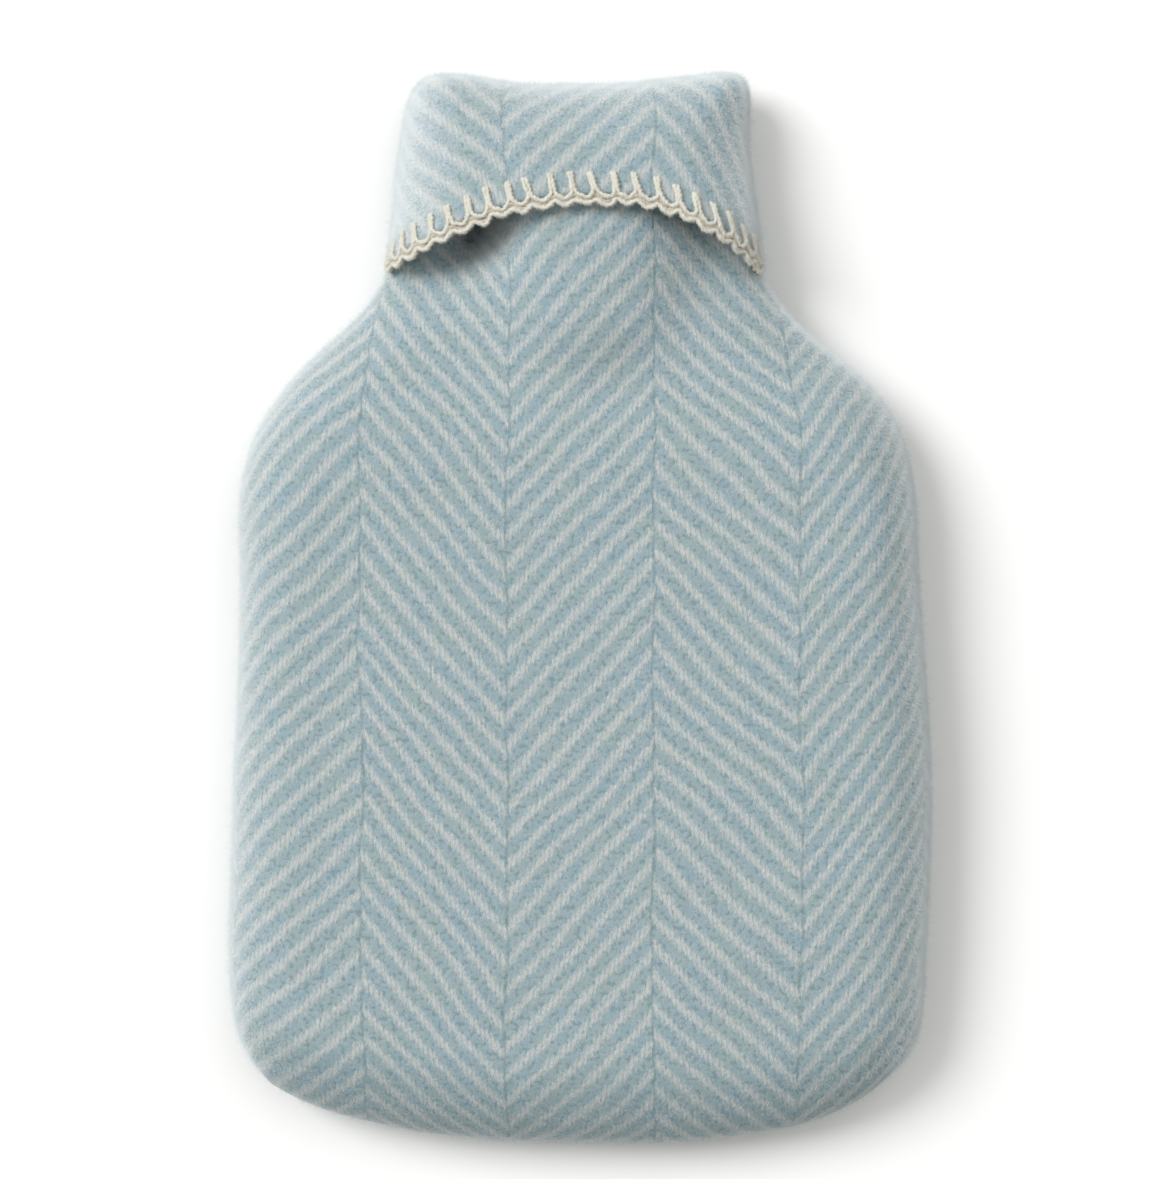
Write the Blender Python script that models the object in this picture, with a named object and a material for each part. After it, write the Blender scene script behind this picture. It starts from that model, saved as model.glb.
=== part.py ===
"""A hot water bottle cover of thick brushed wool, lying on its back and filled out.

The bag is two panels sewn together round the side. The front panel ends in a tab at the neck.
The back panel is longer: it folds forward over the top, is sewn down both sides of the neck,
and ends in a flap whose curved edge is finished with a blanket stitch in cream yarn.

X runs across the cover, Y along it towards the fold, and Z up from the surface it lies on.
The sizes here are in millimetres, and become metres where a mesh is made.
"""
from collections import namedtuple
from math import cos, pi

import bmesh
import bpy
import numpy as np

METRES = 0.001

# Driving dimensions
CLOTH = 3.0              # thickness of the brushed wool
SEAM_GAP = 0.3           # between the two panels where they are sewn together
TAB_INSET = 5.6          # how far the neck tab's sides stay in from the outline
TAB_FOOT = 4.2           # the same at the tab's foot, just below the flap's ends
SEWN_TO = 2.2            # the side seam's end, below the flap's ends
STEP_IN = 0.7            # where the tab has stepped in from the seam, below the flap's ends
TAB_START = 0.06         # the tab's first full row, as a share of the way up the neck
TAB_TOP = 0.84           # the tab's rim, as a share of the way up the neck
TAB_CORNER = 9.0         # how far the tab's rim is rounded down at its two corners
NECK_LIFT = 4.0          # how far the neck's underside rises off the surface
NECK_LIFT_START = 100.0  # where it starts to rise
PRONGS = 21              # stitches of the edging
PRONG_WIDTH = 2.0
EDGING_END = 1.6         # how far in from the outline the edging starts and stops

# The outline, where the front and the back meet, seen from above.
# A row for each place where it bends, and what is there.
Bend = namedtuple("Bend", "x y place")
LEFT_SIDE = (
    Bend(-99.5, -152.3, "middle of the bottom corner"),
    Bend(-105.9, -144.3, "bottom corner"),
    Bend(-110.6, -134.0, "bottom corner, upper end"),
    Bend(-112.4, -118.0, "widest place"),
    Bend(-111.7, -87.0, "side"),
    Bend(-109.8, -36.0, "side"),
    Bend(-108.3, 5.0, "side, drawn in"),
    Bend(-108.7, 38.0, "shoulder, lower end"),
    Bend(-104.6, 54.5, "shoulder"),
    Bend(-92.2, 73.0, "shoulder"),
    Bend(-78.0, 86.8, "shoulder"),
    Bend(-66.5, 98.0, "shoulder, upper end"),
    Bend(-62.2, 107.5, "foot of the neck"),
    Bend(-60.6, 121.0, "neck"),
    Bend(-59.0, 141.0, "neck"),
    Bend(-56.4, 157.5, "neck"),
    Bend(-54.3, 164.5, "fold corner"),
    Bend(-51.0, 169.3, "middle of the fold corner"),
)
RIGHT_SIDE = (
    Bend(98.6, -150.6, "middle of the bottom corner"),
    Bend(104.8, -144.6, "bottom corner"),
    Bend(108.8, -136.3, "bottom corner, upper end"),
    Bend(110.2, -118.0, "side"),
    Bend(111.4, -88.0, "side"),
    Bend(112.5, -56.0, "widest place"),
    Bend(110.5, -20.0, "side"),
    Bend(108.0, 8.0, "side, drawn in"),
    Bend(107.3, 36.0, "shoulder, lower end"),
    Bend(102.9, 56.5, "shoulder"),
    Bend(92.8, 71.7, "shoulder"),
    Bend(77.0, 83.6, "shoulder"),
    Bend(65.0, 94.6, "shoulder, upper end"),
    Bend(59.6, 104.5, "foot of the neck"),
    Bend(57.4, 121.0, "neck"),
    Bend(54.6, 141.0, "neck, drawn in"),
    Bend(53.7, 154.0, "neck, drawn in"),
    Bend(54.4, 162.5, "fold corner"),
    Bend(52.6, 169.6, "middle of the fold corner"),
)
BOTTOM = (
    Bend(-99.5, -152.3, "middle of the left corner"),
    Bend(-91.5, -157.4, "left corner"),
    Bend(-79.0, -162.4, "left corner, inner end"),
    Bend(-52.2, -168.3, "bottom edge"),
    Bend(-24.0, -171.2, "bottom edge"),
    Bend(8.0, -172.0, "lowest place"),
    Bend(42.0, -171.0, "bottom edge"),
    Bend(70.7, -166.3, "right corner, inner end"),
    Bend(88.0, -159.3, "right corner"),
    Bend(98.6, -150.6, "middle of the right corner"),
)
FOLD = (
    Bend(-51.0, 169.3, "middle of the left fold corner"),
    Bend(-45.4, 171.2, "left fold corner"),
    Bend(-32.0, 169.8, "fold"),
    Bend(-18.0, 168.2, "fold, drawn in"),
    Bend(8.0, 167.7, "fold, drawn in"),
    Bend(30.0, 169.6, "fold"),
    Bend(47.5, 171.9, "right fold corner"),
    Bend(52.6, 169.6, "middle of the right fold corner"),
)
# The flap's curved edge, from one side of the neck to the other.
FLAP_EDGE = (
    Bend(-61.8, 110.0, "left end, on the outline"),
    Bend(-58.0, 111.6, "left end"),
    Bend(-53.4, 114.4, "left end"),
    Bend(-45.1, 118.4, "over the left hollow"),
    Bend(-30.0, 124.4, "over the left hollow"),
    Bend(-12.0, 128.9, "top of the curve"),
    Bend(8.0, 130.0, "top of the curve"),
    Bend(24.0, 128.8, "top of the curve"),
    Bend(38.0, 123.0, "over the right hollow"),
    Bend(50.2, 115.8, "right end"),
    Bend(55.6, 111.6, "right end"),
    Bend(58.9, 108.0, "right end, on the outline"),
)

# The form in section: a row for each station along the cover, from the bottom to the fold.
# Each turn is how far in from the outline that sheet keeps curving before it levels out.
Section = namedtuple("Section", "y seam_z under_turn front_z front_turn crown hood_z hood_turn")
SECTIONS = (
    Section(-172, 15.0, 24, 33.5, 27, 1.0, 40, 22),
    Section(-140, 16.5, 22, 37.5, 23, 2.0, 40, 22),
    Section(-100, 17.0, 20, 40.0, 19, 3.0, 40, 22),
    Section(-40, 17.0, 20, 41.0, 18, 3.0, 40, 22),
    Section(25, 17.0, 20, 40.5, 18, 3.0, 40, 22),
    Section(60, 17.0, 20, 39.0, 20, 3.0, 45, 22),
    Section(85, 16.5, 20, 33.5, 22, 2.0, 45, 22),
    Section(105, 16.0, 20, 29.5, 26, 0.0, 45.5, 22),
    Section(125, 15.5, 18, 29.5, 32, 0.0, 45.0, 23),
    Section(145, 15.0, 16, 30.5, 36, 0.0, 41.0, 23),
    Section(160, 14.5, 13, 29.0, 38, 0.0, 36.0, 18),
    Section(172, 14.0, 10, 26.0, 38, 0.0, 31.0, 12),
)

# Swells and hollows of a panel on top of its sections: half-width across and along at which
# each has fallen to about a third, its height (hollows are negative) and how steep its flanks are.
Swell = namedtuple("Swell", "name x y across along height steepness")
FRONT_SWELLS = (
    Swell("raised neck", 1, 113, 31, 36, 11.8, 3.4),
    Swell("left hollow by the neck", -43, 115, 11, 14, -7.5, 2.0),
    Swell("right hollow by the neck", 41, 115, 11, 15, -4.0, 2.0),
    Swell("trough below the neck", -12, 72, 46, 9, -1.2, 2.0),
    Swell("soft ridge on the right", 76, 0, 12, 60, 0.8, 2.0),
    Swell("slack on the left", -80, -30, 14, 80, -0.8, 2.0),
    Swell("slack at the bottom right corner", 78, -140, 22, 22, -1.5, 2.0),
)
HOOD_SWELLS = (
    Swell("left side falls away", -52, 135, 22, 40, -4.0, 2.0),
    Swell("right side falls away", 46, 150, 16, 20, -1.5, 2.0),
)

# The edging's section: the yarn lies on the flap, turns over its edge and covers the rim.
# up is the way up the flap from its edge, out is the way out from the cloth's outer side.
YarnPoint = namedtuple("YarnPoint", "up out")
EDGING_SECTION = (
    YarnPoint(1.8, 0.35),
    YarnPoint(1.8, 1.8),
    YarnPoint(0.8, 2.2),
    YarnPoint(-0.9, 1.9),
    YarnPoint(-1.9, 0.6),
    YarnPoint(-1.7, -1.2),
    YarnPoint(-0.5, -1.6),
    YarnPoint(-0.5, 0.35),
)

# A prong's edges above that band: how far up the flap, and its under and upper side there.
ProngEdge = namedtuple("ProngEdge", "up under over")
PRONG_EDGES = (
    ProngEdge(4.8, 0.35, 1.7),
    ProngEdge(7.8, 0.35, 1.2),
)

# Rows of the cloth's grid: stretches of even spacing up the sides, each with its last place.
Stretch = namedtuple("Stretch", "to_y rows")
BODY_STRETCHES = (Stretch(50.0, 13), Stretch(110.0, 8))
TURN_STEPS = 4           # steps in each turned edge
INNER_COLUMNS = 16       # columns between the turned edges
NECK_ROWS = 7            # rows of the neck below its turned top
TAB_ROWS = 7
CURVE_STEPS = 12         # points from one bend of the outline to the next
EDGE_STEPS = 400         # steps along the flap's edge in which its length is measured
FRAME_STEP = 0.002       # share of the flap over which its slope is measured


def curve_through(bends, before=None, after=None):
    """A smooth curve through the bends, as closely spaced points."""
    points = [np.array([bend.x, bend.y]) for bend in bends]
    first = before if before is not None else 2 * points[0] - points[1]
    last = after if after is not None else 2 * points[-1] - points[-2]
    knots = [first, *points, last]
    curve = []
    for p0, p1, p2, p3 in zip(knots, knots[1:], knots[2:], knots[3:]):
        span = np.linalg.norm(p2 - p1)
        leave = span * (p2 - p0) / (np.linalg.norm(p2 - p1) + np.linalg.norm(p1 - p0))
        arrive = span * (p3 - p1) / (np.linalg.norm(p3 - p2) + np.linalg.norm(p2 - p1))
        for step in range(CURVE_STEPS):
            t = step / CURVE_STEPS
            curve.append((1 + 2 * t) * (1 - t) ** 2 * p1 + t * (1 - t) ** 2 * leave
                         + t * t * (3 - 2 * t) * p2 + t * t * (t - 1) * arrive)
    curve.append(points[-1])
    return np.array(curve)


def neighbour(bends, index):
    """The bend of the next side that a curve runs on towards."""
    return np.array([bends[index].x, bends[index].y])


LEFT_CURVE = curve_through(LEFT_SIDE, neighbour(BOTTOM, 1), neighbour(FOLD, 1))
RIGHT_CURVE = curve_through(RIGHT_SIDE, neighbour(BOTTOM, -2), neighbour(FOLD, -2))
BOTTOM_CURVE = curve_through(BOTTOM, neighbour(LEFT_SIDE, 1), neighbour(RIGHT_SIDE, 1))
FOLD_CURVE = curve_through(FOLD, neighbour(LEFT_SIDE, -2), neighbour(RIGHT_SIDE, -2))
FLAP_CURVE = curve_through(FLAP_EDGE)
OUTLINE = np.vstack([BOTTOM_CURVE, RIGHT_CURVE, FOLD_CURVE[::-1], LEFT_CURVE[::-1]])


def distance_in(x, y):
    """How far each point is from the nearest place on the outline."""
    start = OUTLINE
    along = np.roll(OUTLINE, -1, axis=0) - start
    length_squared = np.maximum((along ** 2).sum(axis=1), 1e-12)
    point = np.stack([x, y], axis=-1)[..., None, :]
    t = np.clip(((point - start) * along).sum(axis=-1) / length_squared, 0, 1)
    nearest = start + t[..., None] * along
    return np.sqrt(((point - nearest) ** 2).sum(axis=-1)).min(axis=-1)


def section_value(column, y):
    """One column of SECTIONS at any place along the cover, as a smooth curve."""
    stations = np.array([section.y for section in SECTIONS], float)
    values = np.array([getattr(section, column) for section in SECTIONS], float)
    slopes = np.gradient(values, stations)
    y = np.clip(y, stations[0], stations[-1])
    row = np.clip(np.searchsorted(stations, y, side="right") - 1, 0, len(stations) - 2)
    span = stations[row + 1] - stations[row]
    t = (y - stations[row]) / span
    return ((1 + 2 * t) * (1 - t) ** 2 * values[row] + t * (1 - t) ** 2 * span * slopes[row]
            + t * t * (3 - 2 * t) * values[row + 1] + t * t * (t - 1) * span * slopes[row + 1])


def edge_rise(distance, turn):
    """A quarter ellipse: 0 on the outline, 1 where the sheet has levelled out."""
    t = np.clip(distance / turn, 0, 1)
    return np.sqrt(1 - (1 - t) ** 2)


def smooth_step(t):
    """From 0 to 1, level at both ends."""
    t = np.clip(t, 0, 1)
    return t * t * (3 - 2 * t)


def swell_height(swells, x, y):
    """What the swells and hollows add to a panel's height."""
    height = np.zeros_like(x)
    for swell in swells:
        reach = np.hypot((x - swell.x) / swell.across, (y - swell.y) / swell.along)
        height += swell.height * np.exp(-reach ** swell.steepness)
    return height


def front_height(x, y):
    """The front panel's outer side."""
    seam = section_value("seam_z", y) + SEAM_GAP / 2
    half_width = np.interp(y, LEFT_CURVE[:, 1], -LEFT_CURVE[:, 0])
    level = section_value("front_z", y) - section_value("crown", y) * (x / half_width) ** 2
    level = level + swell_height(FRONT_SWELLS, x, y)
    return seam + (level - seam) * edge_rise(distance_in(x, y), section_value("front_turn", y))


def hood_height(x, y):
    """The flap's outer side, from the fold to its edge."""
    seam = section_value("seam_z", y)
    level = section_value("hood_z", y) + swell_height(HOOD_SWELLS, x, y)
    return seam + (level - seam) * edge_rise(distance_in(x, y), section_value("hood_turn", y))


def under_height(x, y):
    """The back panel's outer side: flat on the surface inside its turned edges."""
    seam = section_value("seam_z", y) - SEAM_GAP / 2
    level = NECK_LIFT * smooth_step((y - NECK_LIFT_START) / (LEFT_CURVE[-1, 1] - NECK_LIFT_START))
    rise = edge_rise(distance_in(x, y), section_value("under_turn", y))
    return np.where(rise >= 1, level, seam + (level - seam) * rise)


def turned_steps(turn, steps=TURN_STEPS):
    """Distances in from an edge that divide its turned part into equal angles."""
    return [turn * (1 - cos(step * pi / 2 / steps)) for step in range(steps)]


def column_shares(width, turn):
    """Where the grid's columns cross a row, as shares of its width."""
    edge = turned_steps(turn)
    inner = list(np.linspace(turn, width - turn, INNER_COLUMNS + 1))
    return np.array(edge + inner + [width - place for place in reversed(edge)]) / width


def bow_of(curve, shares):
    """How far a curve lies above the straight line between its ends."""
    x = curve[0, 0] + shares * (curve[-1, 0] - curve[0, 0])
    straight = curve[0, 1] + shares * (curve[-1, 1] - curve[0, 1])
    return np.interp(x, curve[:, 0], curve[:, 1]) - straight


def side_point(curve, y):
    """The point of a side's curve at one place along the cover."""
    return np.array([np.interp(y, curve[:, 1], curve[:, 0]), y])


def row_across(left, right, bow_shares):
    """One row of the grid. bow_shares pairs a bowed curve with how much of its bow it gives."""
    turn = float(section_value("under_turn", (left[1] + right[1]) / 2))
    shares = column_shares(right[0] - left[0], turn)
    row = left + shares[:, None] * (right - left)
    for curve, amount in bow_shares:
        row[:, 1] += amount * bow_of(curve, shares)
    return row


def body_row(left_y, inset=0.0):
    """The row that starts at a place up the left side, bowed less the higher it is."""
    left_low, right_low = LEFT_CURVE[0], RIGHT_CURVE[0]
    share = (left_y - left_low[1]) / (FLAP_CURVE[0, 1] - left_low[1])
    left = side_point(LEFT_CURVE, left_y) + np.array([inset, 0])
    right_y = right_low[1] + share * (FLAP_CURVE[-1, 1] - right_low[1])
    right = side_point(RIGHT_CURVE, right_y) - np.array([inset, 0])
    return row_across(left, right, [(BOTTOM_CURVE, 1 - share)])


def body_rows():
    """Rows of the body from the bottom edge up to the end of the side seam."""
    left_low = LEFT_CURVE[0]
    turn = float(section_value("under_turn", left_low[1]))
    heights = [left_low[1] + step for step in turned_steps(turn)]
    start = left_low[1] + turn
    for stretch in BODY_STRETCHES:
        heights += list(np.linspace(start, stretch.to_y, stretch.rows, endpoint=False))
        start = stretch.to_y
    return [body_row(height) for height in [*heights, FLAP_CURVE[0, 1] - SEWN_TO]]


def neck_sides(share):
    """The places on both sides of the neck, from the flap's ends (0) to the fold (1)."""
    left_y = FLAP_CURVE[0, 1] + share * (LEFT_CURVE[-1, 1] - FLAP_CURVE[0, 1])
    right_y = FLAP_CURVE[-1, 1] + share * (RIGHT_CURVE[-1, 1] - FLAP_CURVE[-1, 1])
    return side_point(LEFT_CURVE, left_y), side_point(RIGHT_CURVE, right_y)


def neck_shares():
    """Rows of the neck and the flap, even at first and closer where the cloth folds over."""
    length = LEFT_CURVE[-1, 1] - FLAP_CURVE[0, 1]
    turn = float(section_value("hood_turn", LEFT_CURVE[-1, 1]))
    top = 1 - turn / length
    even = list(np.linspace(0, top, NECK_ROWS, endpoint=False))
    return even + [top] + [1 - step / length for step in reversed(turned_steps(turn))]


def neck_row(share, edge_share=0.0):
    left, right = neck_sides(share)
    return row_across(left, right, [(FOLD_CURVE, share), (FLAP_CURVE, edge_share)])


def flap_place(across, up_share):
    """A point on the flap's outer side: across from left to right, up from its edge to the fold."""
    left, right = neck_sides(up_share)
    x, y = left + across * (right - left)
    y += up_share * bow_of(FOLD_CURVE, across) + (1 - up_share) * bow_of(FLAP_CURVE, across)
    return np.array([x, y, hood_height(np.array([x]), np.array([y]))[0]])


def flap_frame(across, up_share):
    """That point, with the way up the flap and the way out of the cloth there."""
    place = flap_place(across, up_share)
    up = flap_place(across, up_share + FRAME_STEP) - place
    sideways = flap_place(across + FRAME_STEP, up_share) - flap_place(across - FRAME_STEP, up_share)
    out = np.cross(sideways, up)
    return place, up / np.linalg.norm(up), out / np.linalg.norm(out)


def tab_row(share):
    """A row of the neck tab, inside the hood, with its rim rounded at the corners."""
    left, right = neck_sides(share)
    left = left + np.array([TAB_INSET, 0])
    right = right - np.array([TAB_INSET, 0])
    row = row_across(left, right, [])
    across = 2 * (row[:, 0] - left[0]) / (right[0] - left[0]) - 1
    row[:, 1] -= TAB_CORNER * (share / TAB_TOP) * across ** 4
    return row


class Sheet:
    """Cloth as a grid of points on its outer side, later given its thickness."""

    def __init__(self):
        self.mesh = bmesh.new()
        self.rows = []

    def point(self, x, y, z):
        return self.mesh.verts.new((x * METRES, y * METRES, z * METRES))

    def add_row(self, row, height):
        """Adds a row of (x, y) places, raised to a panel's height there."""
        z = height(row[:, 0], row[:, 1])
        self.rows.append([self.point(x, y, level) for (x, y), level in zip(row, z)])

    def fill(self, rows, flip=False):
        """Faces between the rows. Where two rows share their ends, they meet in triangles."""
        for low, high in zip(rows, rows[1:]):
            for a, b, c, d in zip(low, low[1:], high[1:], high):
                corners = list(dict.fromkeys([a, b, c, d]))
                self.mesh.faces.new(corners[::-1] if flip else corners)

    def thicken(self, sewn):
        """Adds the inner side, one cloth thickness in, and closes the rim.

        sewn holds the points on the seam, where the rim lies level."""
        mesh = self.mesh
        mesh.normal_update()
        outer = list(mesh.verts)
        faces = list(mesh.faces)
        rim = [edge for edge in mesh.edges if edge.is_boundary]
        inner = {}
        for vert in outer:
            normal = vert.normal.copy()
            if vert in sewn:
                normal.z = 0
                normal.normalize()
            inner[vert] = mesh.verts.new(vert.co - normal * CLOTH * METRES)
        rim_loops = [edge.link_loops[0] for edge in rim]
        rim_pairs = [(loop.vert, loop.link_loop_next.vert) for loop in rim_loops]
        for face in faces:
            mesh.faces.new([inner[vert] for vert in reversed(face.verts)])
        for start, end in rim_pairs:
            mesh.faces.new([end, start, inner[start], inner[end]])


def make_object(name, mesh_data, material):
    mesh = bpy.data.meshes.new(name)
    mesh_data.to_mesh(mesh)
    mesh_data.free()
    mesh.shade_smooth()
    mesh.materials.append(material)
    piece = bpy.data.objects.new(name, mesh)
    bpy.context.collection.objects.link(piece)
    return piece


def make_material(name, colour, roughness):
    material = bpy.data.materials.new(name)
    material.use_nodes = True
    shader = material.node_tree.nodes["Principled BSDF"]
    shader.inputs["Base Color"].default_value = (*colour, 1)
    shader.inputs["Roughness"].default_value = roughness
    shader.inputs["Metallic"].default_value = 0
    return material


def make_front_panel(wool):
    """The front of the bag with its neck tab."""
    sheet = Sheet()
    for row in body_rows():
        sheet.add_row(row, front_height)
    sewn_rows = len(sheet.rows)
    sheet.add_row(body_row(FLAP_CURVE[0, 1] - STEP_IN, TAB_FOOT), front_height)
    for share in np.linspace(TAB_START, TAB_TOP, TAB_ROWS):
        sheet.add_row(tab_row(share), front_height)
    sheet.fill(sheet.rows)
    sewn = set(sheet.rows[0])
    for row in sheet.rows[:sewn_rows]:
        sewn |= {row[0], row[-1]}
    sheet.thicken(sewn)
    return make_object("front_panel", sheet.mesh, wool)


def make_back_panel(wool):
    """The back of the bag and neck, the fold over the top and the flap."""
    sheet = Sheet()
    for row in body_rows():
        sheet.add_row(row, under_height)
    sewn = set(sheet.rows[0])
    for row in sheet.rows:
        sewn |= {row[0], row[-1]}
    body_count = len(sheet.rows)
    shares = neck_shares()
    for share in shares:
        sheet.add_row(neck_row(share), under_height)
    under = list(sheet.rows)
    sheet.fill(under, flip=True)
    sides = under[body_count:]
    sheet.rows = [under[-1]]
    for share, side in list(zip(shares, sides))[-2::-1]:
        row = neck_row(share, edge_share=1 - share)
        sheet.add_row(row, hood_height)
        for end in (0, -1):
            sheet.mesh.verts.remove(sheet.rows[-1][end])
            sheet.rows[-1][end] = side[end]
    sheet.fill(sheet.rows, flip=True)
    sheet.thicken(sewn)
    return make_object("back_panel", sheet.mesh, wool)


def yarn_section(across):
    """The edging's section at one place along the flap's edge."""
    place, up, out = flap_frame(across, 0.0)
    return [place + point.up * up + point.out * out for point in EDGING_SECTION]


def prong_ends(across, edge):
    """The under and the upper side of one end of a prong's edge."""
    length = 2 * np.linalg.norm(flap_place(across, 0.5) - flap_place(across, 0.0))
    place, _, out = flap_frame(across, edge.up / length)
    return place + edge.under * out, place + edge.over * out


def edging_places():
    """Pairs of places along the flap's edge, one for the two sides of each prong."""
    width = FLAP_CURVE[-1, 0] - FLAP_CURVE[0, 0]
    across = np.linspace(EDGING_END / width, 1 - EDGING_END / width, EDGE_STEPS + 1)
    edge = np.array([flap_place(share, 0.0) for share in across])
    length = np.concatenate([[0], np.cumsum(np.linalg.norm(np.diff(edge, axis=0), axis=1))])
    pitch = (length[-1] - PRONG_WIDTH) / (PRONGS - 1)
    starts = pitch * np.arange(PRONGS)
    return [tuple(np.interp([start, start + PRONG_WIDTH], length, across)) for start in starts]


def make_blanket_stitch(yarn):
    """The edging: a band of yarn over the flap's edge with a prong for each stitch."""
    mesh = bmesh.new()

    def ring(points):
        return [mesh.verts.new(point * METRES) for point in points]

    places = edging_places()
    stations = []
    for index, (left, right) in enumerate(places):
        stations += [left, right]
        if index + 1 < len(places):
            stations.append((right + places[index + 1][0]) / 2)
    sections = [ring(yarn_section(across)) for across in stations]
    mesh.faces.new(sections[0])
    mesh.faces.new(sections[-1][::-1])
    prong_sides = {left: right for left, right in places}
    for index, (near, far) in enumerate(zip(sections, sections[1:])):
        across = stations[index]
        for side in range(len(near)):
            if side == 0 and across in prong_sides:
                continue
            other = (side + 1) % len(near)
            mesh.faces.new([near[other], near[side], far[side], far[other]])
        if across in prong_sides:
            foot = [near[0], near[1], far[1], far[0]]
            for edge in PRONG_EDGES:
                low_left, high_left = prong_ends(across, edge)
                low_right, high_right = prong_ends(prong_sides[across], edge)
                tip = ring([low_left, high_left, high_right, low_right])
                for corner in range(4):
                    after = (corner + 1) % 4
                    mesh.faces.new([foot[corner], foot[after], tip[after], tip[corner]])
                foot = tip
            mesh.faces.new(foot)
    bmesh.ops.recalc_face_normals(mesh, faces=mesh.faces)
    return make_object("blanket_stitch", mesh, yarn)


def main():
    for leftover in list(bpy.data.objects):
        bpy.data.objects.remove(leftover)
    wool = make_material("light blue wool", (0.33, 0.43, 0.45), 0.95)
    make_front_panel(wool)
    make_back_panel(wool)
    make_blanket_stitch(make_material("cream yarn", (0.72, 0.71, 0.62), 0.9))


main()
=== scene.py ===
# %% [markdown]
# # A hot water bottle cover in brushed herringbone wool
#
# The cover is a bag of thick, soft wool, filled out and lying on its back. The back panel folds
# forward over the neck and ends in a flap, whose curved edge is finished by hand in blanket stitch.
# The solid model gives every place and size here. This script dresses it: first the camera and the
# light, then the two panels of cloth, their weave, their nap, and last the stitching.

# %% Load the solid model
from math import cos, exp, pi, radians, sin

import bmesh
import bpy
import numpy as np
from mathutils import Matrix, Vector, noise
from mathutils.bvhtree import BVHTree


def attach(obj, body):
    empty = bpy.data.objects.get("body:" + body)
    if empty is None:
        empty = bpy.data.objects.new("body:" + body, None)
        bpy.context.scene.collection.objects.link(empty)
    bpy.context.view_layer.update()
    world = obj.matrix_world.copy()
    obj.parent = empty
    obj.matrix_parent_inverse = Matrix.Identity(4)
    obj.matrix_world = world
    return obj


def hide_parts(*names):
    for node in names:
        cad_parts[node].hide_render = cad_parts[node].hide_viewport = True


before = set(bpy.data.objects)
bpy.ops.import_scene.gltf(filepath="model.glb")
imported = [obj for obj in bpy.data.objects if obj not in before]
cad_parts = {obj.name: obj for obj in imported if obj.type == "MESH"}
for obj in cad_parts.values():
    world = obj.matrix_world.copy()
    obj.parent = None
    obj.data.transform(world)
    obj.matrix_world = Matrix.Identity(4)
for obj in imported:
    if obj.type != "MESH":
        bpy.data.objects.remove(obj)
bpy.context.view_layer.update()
MM = 0.001
print("pieces of the solid model:", sorted(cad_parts))


# %% [markdown]
# Colours are easiest to read as the hex values of a paint program. Blender's shaders count light
# instead, so one function turns the first into the second. Another adds any node to a material,
# with its settings, and fills its sockets in order with numbers, colours or what other nodes make.

# %% Helpers for colours and nodes
def colour(hex_value):
    """An sRGB colour such as "#C4C2BA" as the linear light that a shader reads."""
    parts = [int(hex_value[place:place + 2], 16) / 255 for place in (1, 3, 5)]
    linear = [part / 12.92 if part <= 0.04045 else ((part + 0.055) / 1.055) ** 2.4 for part in parts]
    return (*linear, 1.0)


def add_node(tree, kind, *values, **settings):
    """Adds a node. values fill the sockets it shows, in order; None leaves one as it is."""
    node = tree.nodes.new("ShaderNode" + kind)
    for name, value in settings.items():
        setattr(node, name, value)
    shown_sockets = [socket for socket in node.inputs if socket.enabled]
    for socket, value in zip(shown_sockets, values):
        if isinstance(value, bpy.types.Node):
            value = next(output for output in value.outputs if output.enabled)
        if isinstance(value, bpy.types.NodeSocket):
            tree.links.new(value, socket)
        elif value is not None:
            socket.default_value = value
    return node


def new_material(name):
    """An empty material with its tree and its shader, already linked to the output."""
    material = bpy.data.materials.new(name)
    material.use_nodes = True
    tree = material.node_tree
    return material, tree, tree.nodes["Principled BSDF"]


# %% [markdown]
# ## Camera, light and floor
#
# The cover was photographed from straight above, on white. A long lens from 1.3 m keeps the sides
# nearly upright. The shadows tell where the light stood: one soft lamp at the upper left with a wide
# glow round it, a weaker one at the upper right, and pale walls that lift the shadows a little. A sun
# lamp with an angle does for a softbox, because a shadow's soft edge comes from the light's size.

# %% Camera
camera_data = bpy.data.cameras.new("camera")
camera_data.lens = 124
camera_data.sensor_width = 36
camera = bpy.data.objects.new("camera", camera_data)
camera.location = (-0.0018, 0.0059, 1.32)
bpy.context.scene.collection.objects.link(camera)
bpy.context.scene.camera = camera
print("camera height:", camera.location.z)

# %% Light
def soft_lamp(name, azimuth, elevation, size, energy):
    """A sun lamp that shines from azimuth and elevation, as wide as size, all in degrees."""
    data = bpy.data.lights.new(name, "SUN")
    data.energy = energy
    data.angle = radians(size)
    lamp = bpy.data.objects.new(name, data)
    around, up = radians(azimuth), radians(elevation)
    shines_from = Vector((cos(around) * cos(up), sin(around) * cos(up), sin(up)))
    lamp.rotation_euler = shines_from.to_track_quat("Z", "Y").to_euler()
    bpy.context.scene.collection.objects.link(lamp)
    print(name, "lamp:", energy)


soft_lamp("key", azimuth=151, elevation=45, size=30, energy=2.12)
soft_lamp("glow round the key", azimuth=151, elevation=50, size=80, energy=0.70)
soft_lamp("fill", azimuth=40, elevation=58, size=50, energy=0.78)
world = bpy.data.worlds.new("pale walls")
world.use_nodes = True
walls = world.node_tree.nodes["Background"]
walls.inputs["Color"].default_value = colour("#FFFEF6")
walls.inputs["Strength"].default_value = 0.32
bpy.context.scene.world = world
bpy.context.scene.view_settings.view_transform = "Standard"

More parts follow.
